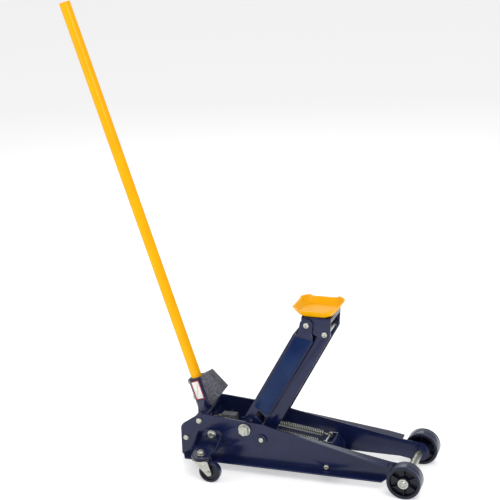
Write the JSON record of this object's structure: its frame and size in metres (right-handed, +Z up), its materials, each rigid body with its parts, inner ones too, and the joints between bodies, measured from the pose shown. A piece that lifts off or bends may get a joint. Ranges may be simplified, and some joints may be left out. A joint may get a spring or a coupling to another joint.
{
  "type": "hydraulic floor jack",
  "caption": "Trolley floor jack with twin pressed side plates, parallelogram lift arm, swivelling square saddle, swivel casters and long pump handle.",
  "frame": {"origin": "middle of the bounding box, on the floor", "axes": "+X forward towards the front wheels, +Y to the jack's left, +Z up"},
  "size_m": [1.0322, 0.38, 1.3094],
  "materials": {
    "navy_enamel": "gloss enamel over pressed steel",
    "yellow_enamel": "gloss enamel",
    "zinc_plated_steel": "bright zinc plate",
    "machined_steel": "turned, oiled",
    "cast_iron": "as cast, grey",
    "wheel_nylon": "moulded, satin",
    "brass": "turned",
    "label_vinyl": "printed label, blank"
  },
  "bodies": {
    "chassis": {"front_axle": "zinc_plated_steel", "front_cross_member": "navy_enamel", "spring_anchor_rod": "machined_steel", "lift_shaft": "machined_steel", "rear_spacer": "navy_enamel", "power_unit": "cast_iron", "oil_filler_plug": "brass", "side_plate_left": "navy_enamel", "wheel_retainer_left": "zinc_plated_steel", "caster_bracket_left": "navy_enamel", "lift_shaft_nut_left": "zinc_plated_steel", "lift_shaft_spacer_left": "machined_steel", "link_pivot_bolt_left": "zinc_plated_steel", "unit_mount_left": "cast_iron", "return_spring_left": "zinc_plated_steel", "yoke_pivot_bolt_left": "zinc_plated_steel", "rear_spacer_bolt_left": "zinc_plated_steel", "cross_member_bolt_left": "zinc_plated_steel", "caster_bracket_bolt_left": "zinc_plated_steel", "caster_bolt_left": "zinc_plated_steel", "side_plate_right": "navy_enamel", "wheel_retainer_right": "zinc_plated_steel", "caster_bracket_right": "navy_enamel", "lift_shaft_nut_right": "zinc_plated_steel", "lift_shaft_spacer_right": "machined_steel", "link_pivot_bolt_right": "zinc_plated_steel", "unit_mount_right": "cast_iron", "return_spring_right": "zinc_plated_steel", "yoke_pivot_bolt_right": "zinc_plated_steel", "rear_spacer_bolt_right": "zinc_plated_steel", "cross_member_bolt_right": "zinc_plated_steel", "caster_bracket_bolt_right": "zinc_plated_steel", "caster_bolt_right": "zinc_plated_steel"},
    "front_wheel_left": {"front_wheel_left": "wheel_nylon"},
    "front_wheel_right": {"front_wheel_right": "wheel_nylon"},
    "caster_left": {"caster_fork_left": "zinc_plated_steel", "caster_axle_left": "zinc_plated_steel"},
    "caster_right": {"caster_fork_right": "zinc_plated_steel", "caster_axle_right": "zinc_plated_steel"},
    "caster_wheel_left": {"caster_wheel_left": "wheel_nylon"},
    "caster_wheel_right": {"caster_wheel_right": "wheel_nylon"},
    "lift_arm": {"lift_arm": "navy_enamel", "crank_pin": "machined_steel", "head_pin_rear_left": "zinc_plated_steel", "head_pin_rear_right": "zinc_plated_steel"},
    "link": {"levelling_link": "navy_enamel", "spring_heel_pin": "machined_steel", "head_pin_front": "zinc_plated_steel"},
    "head": {"saddle_head": "navy_enamel"},
    "saddle": {"saddle": "yellow_enamel"},
    "ram": {"ram_rod": "zinc_plated_steel", "ram_clevis": "cast_iron"},
    "plunger": {"pump_plunger": "zinc_plated_steel"},
    "yoke": {"handle_yoke": "navy_enamel", "handle_set_screw_lower": "zinc_plated_steel", "handle_set_screw_upper": "zinc_plated_steel", "yoke_label": "label_vinyl"},
    "handle": {"handle_tube": "yellow_enamel", "release_rod": "machined_steel"},
    "valve": {"release_valve_spindle": "machined_steel"}
  },
  "joints": [
    {"name": "lift_arm_pivot", "type": "hinge", "parent": "chassis", "child": "lift_arm", "pos_m": [0.00062, 0, 0.127], "axis": [0, 1, 0], "range_deg": [0, 69.5]},
    {"name": "link_pivot", "type": "hinge", "parent": "chassis", "child": "link", "pos_m": [0.05062, 0, 0.103], "axis": [0, 1, 0], "range_deg": [0, 69.5], "deforming": ["return_spring_left", "return_spring_right"]},
    {"name": "head_level", "type": "hinge", "parent": "lift_arm", "child": "head", "pos_m": [0.18212, 0, 0.448], "axis": [0, 1, 0], "range_deg": [-69.5, 0]},
    {"name": "saddle_swivel", "type": "hinge", "parent": "head", "child": "saddle", "pos_m": [0.20212, 0, 0.4705], "axis": [0, 0, 1], "continuous": true},
    {"name": "ram_extend", "type": "slide", "parent": "chassis", "child": "ram", "axis": [1, 0, 0], "range_m": [-0.069, 0]},
    {"name": "handle_pump", "type": "hinge", "parent": "chassis", "child": "yoke", "pos_m": [-0.13488, 0, 0.139], "axis": [0, 1, 0], "range_deg": [-50, 15]},
    {"name": "plunger_stroke", "type": "slide", "parent": "chassis", "child": "plunger", "axis": [1, 0, 0], "range_m": [-0.007, 0.023]},
    {"name": "handle_twist", "type": "hinge", "parent": "yoke", "child": "handle", "pos_m": [-0.13488, 0, 0.139], "axis": [-0.2999, 0, 0.954], "range_deg": [0, 180]},
    {"name": "release_valve_turn", "type": "hinge", "parent": "chassis", "child": "valve", "pos_m": [-0.13488, 0, 0.139], "axis": [-0.2999, 0, 0.954], "range_deg": [0, 180]},
    {"name": "front_wheel_left_spin", "type": "hinge", "parent": "chassis", "child": "front_wheel_left", "pos_m": [0.46862, 0.11, 0.0475], "axis": [0, 1, 0], "continuous": true},
    {"name": "caster_left_swivel", "type": "hinge", "parent": "chassis", "child": "caster_left", "pos_m": [-0.09938, 0.163, 0.0705], "axis": [0, 0, 1], "continuous": true},
    {"name": "caster_wheel_left_spin", "type": "hinge", "parent": "caster_left", "child": "caster_wheel_left", "pos_m": [-0.07338, 0.163, 0.031], "axis": [0, 1, 0], "continuous": true},
    {"name": "front_wheel_right_spin", "type": "hinge", "parent": "chassis", "child": "front_wheel_right", "pos_m": [0.46862, -0.11, 0.0475], "axis": [0, 1, 0], "continuous": true},
    {"name": "caster_right_swivel", "type": "hinge", "parent": "chassis", "child": "caster_right", "pos_m": [-0.09938, -0.163, 0.0705], "axis": [0, 0, 1], "continuous": true},
    {"name": "caster_wheel_right_spin", "type": "hinge", "parent": "caster_right", "child": "caster_wheel_right", "pos_m": [-0.07338, -0.163, 0.031], "axis": [0, 1, 0], "continuous": true}
  ],
  "couplings": [
    {"joint": "link_pivot", "follows": "lift_arm_pivot", "ratio": 1},
    {"joint": "head_level", "follows": "lift_arm_pivot", "ratio": -1},
    {"joint": "ram_extend", "follows": "lift_arm_pivot", "m_per_rad": -0.05639},
    {"joint": "plunger_stroke", "follows": "handle_pump", "m_per_rad": -0.026},
    {"joint": "release_valve_turn", "follows": "handle_twist", "ratio": 1}
  ]
}
